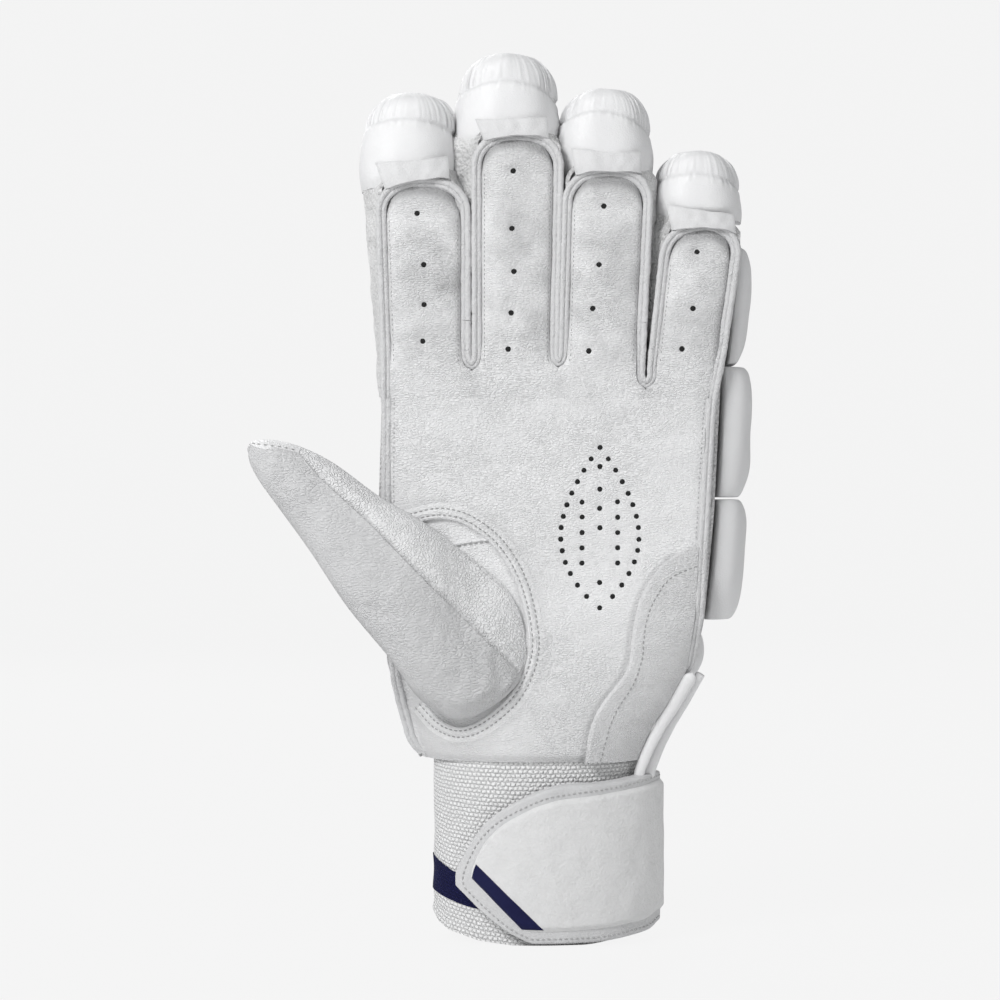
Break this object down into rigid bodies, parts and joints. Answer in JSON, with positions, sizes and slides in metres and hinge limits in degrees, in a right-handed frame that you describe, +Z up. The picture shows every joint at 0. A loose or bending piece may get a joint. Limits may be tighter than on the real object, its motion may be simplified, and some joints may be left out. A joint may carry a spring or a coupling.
{
  "type": "batting glove",
  "caption": "Left-hand cricket batting glove: leather palm, padded finger and thumb rolls, elastic cuff and touch-and-close wrist strap, standing on its cuff.",
  "frame": {"origin": "middle of the bounding box, on the floor plane under the cuff's rim", "axes": "+Z up along the fingers, palm faces -Y, back of the hand faces +Y, thumb points to -X"},
  "size_m": [0.156, 0.0685, 0.2772],
  "materials": {
    "leather": "soft fine-grained palm leather, matt",
    "padded_skin": "smooth coated skin over foam, low sheen",
    "towelling": "looped cotton towelling",
    "elastic": "ribbed woven elastic with a navy band",
    "strap_skin": "padded strap skin with a bound edge",
    "touch_tape": "touch-and-close tape"
  },
  "bodies": {
    "hand": {"palm_leather": "leather", "heel_patch": "leather", "hand_sleeve": "towelling", "index_knuckle_roll": "padded_skin", "index_back_roll": "padded_skin", "middle_knuckle_roll": "padded_skin", "middle_back_roll": "padded_skin", "ring_knuckle_roll": "padded_skin", "ring_back_roll": "padded_skin", "little_knuckle_roll": "padded_skin", "little_back_roll": "padded_skin", "upper_side_roll": "padded_skin", "lower_side_roll": "padded_skin", "wrist_roll": "padded_skin", "wrist_welt": "leather", "thumb_surround": "leather", "cuff": "elastic", "loop_patch": "touch_tape", "strap_anchor": "strap_skin"},
    "index_base": {"index_base_leather": "leather", "index_base_sleeve": "towelling", "index_base_roll": "padded_skin"},
    "index_tip": {"index_tip_leather": "leather", "index_tip_sleeve": "towelling", "index_tip_roll": "padded_skin", "index_tip_cap": "padded_skin", "index_tip_tab": "padded_skin"},
    "middle_base": {"middle_base_leather": "leather", "middle_base_sleeve": "towelling", "middle_base_roll": "padded_skin"},
    "middle_tip": {"middle_tip_leather": "leather", "middle_tip_sleeve": "towelling", "middle_tip_roll": "padded_skin", "middle_tip_cap": "padded_skin", "middle_tip_tab": "padded_skin"},
    "ring_base": {"ring_base_leather": "leather", "ring_base_sleeve": "towelling", "ring_base_roll": "padded_skin"},
    "ring_tip": {"ring_tip_leather": "leather", "ring_tip_sleeve": "towelling", "ring_tip_roll": "padded_skin", "ring_tip_cap": "padded_skin", "ring_tip_tab": "padded_skin"},
    "little_base": {"little_base_leather": "leather", "little_base_sleeve": "towelling", "little_base_roll": "padded_skin"},
    "little_tip": {"little_tip_leather": "leather", "little_tip_sleeve": "towelling", "little_tip_roll": "padded_skin", "little_tip_cap": "padded_skin", "little_tip_tab": "padded_skin"},
    "thumb_base": {"thumb_base_leather": "leather", "thumb_base_gusset": "leather", "thumb_base_pad": "padded_skin"},
    "thumb_tip": {"thumb_tip_leather": "leather", "thumb_tip_gusset": "leather", "thumb_tip_pad": "padded_skin"},
    "strap": {"strap_flap": "strap_skin", "hook_patch": "touch_tape"}
  },
  "joints": [
    {"name": "index_knuckle", "type": "hinge", "parent": "hand", "child": "index_base", "pos_m": [-0.025, -0.0198, 0.175], "axis": [1, 0, 0], "range_deg": [0, 70]},
    {"name": "index_middle", "type": "hinge", "parent": "index_base", "child": "index_tip", "pos_m": [-0.025, -0.0198, 0.2053], "axis": [1, 0, 0], "range_deg": [0, 75]},
    {"name": "middle_knuckle", "type": "hinge", "parent": "hand", "child": "middle_base", "pos_m": [0.004, -0.0198, 0.175], "axis": [1, 0, 0], "range_deg": [0, 70]},
    {"name": "middle_middle", "type": "hinge", "parent": "middle_base", "child": "middle_tip", "pos_m": [0.004, -0.0198, 0.2129], "axis": [1, 0, 0], "range_deg": [0, 75]},
    {"name": "ring_knuckle", "type": "hinge", "parent": "hand", "child": "ring_base", "pos_m": [0.031, -0.0198, 0.175], "axis": [1, 0, 0], "range_deg": [0, 70]},
    {"name": "ring_middle", "type": "hinge", "parent": "ring_base", "child": "ring_tip", "pos_m": [0.031, -0.0198, 0.2056], "axis": [1, 0, 0], "range_deg": [0, 75]},
    {"name": "little_knuckle", "type": "hinge", "parent": "hand", "child": "little_base", "pos_m": [0.057, -0.0198, 0.175], "axis": [1, 0, 0], "range_deg": [0, 70]},
    {"name": "little_middle", "type": "hinge", "parent": "little_base", "child": "little_tip", "pos_m": [0.059, -0.0198, 0.192], "axis": [1, 0, 0], "range_deg": [0, 75]},
    {"name": "thumb_root", "type": "hinge", "parent": "hand", "child": "thumb_base", "pos_m": [-0.03885, -0.0343, 0.117], "axis": [0, 0, 1], "range_deg": [0, 40]},
    {"name": "thumb_middle", "type": "hinge", "parent": "thumb_base", "child": "thumb_tip", "pos_m": [-0.05479, -0.0343, 0.13364], "axis": [0.6934, 0, 0.7206], "range_deg": [0, 50]},
    {"name": "strap_peel", "type": "hinge", "parent": "hand", "child": "strap", "pos_m": [0.04985, 0.0036, 0.028], "axis": [0, 0, 1], "range_deg": [0, 110]}
  ]
}
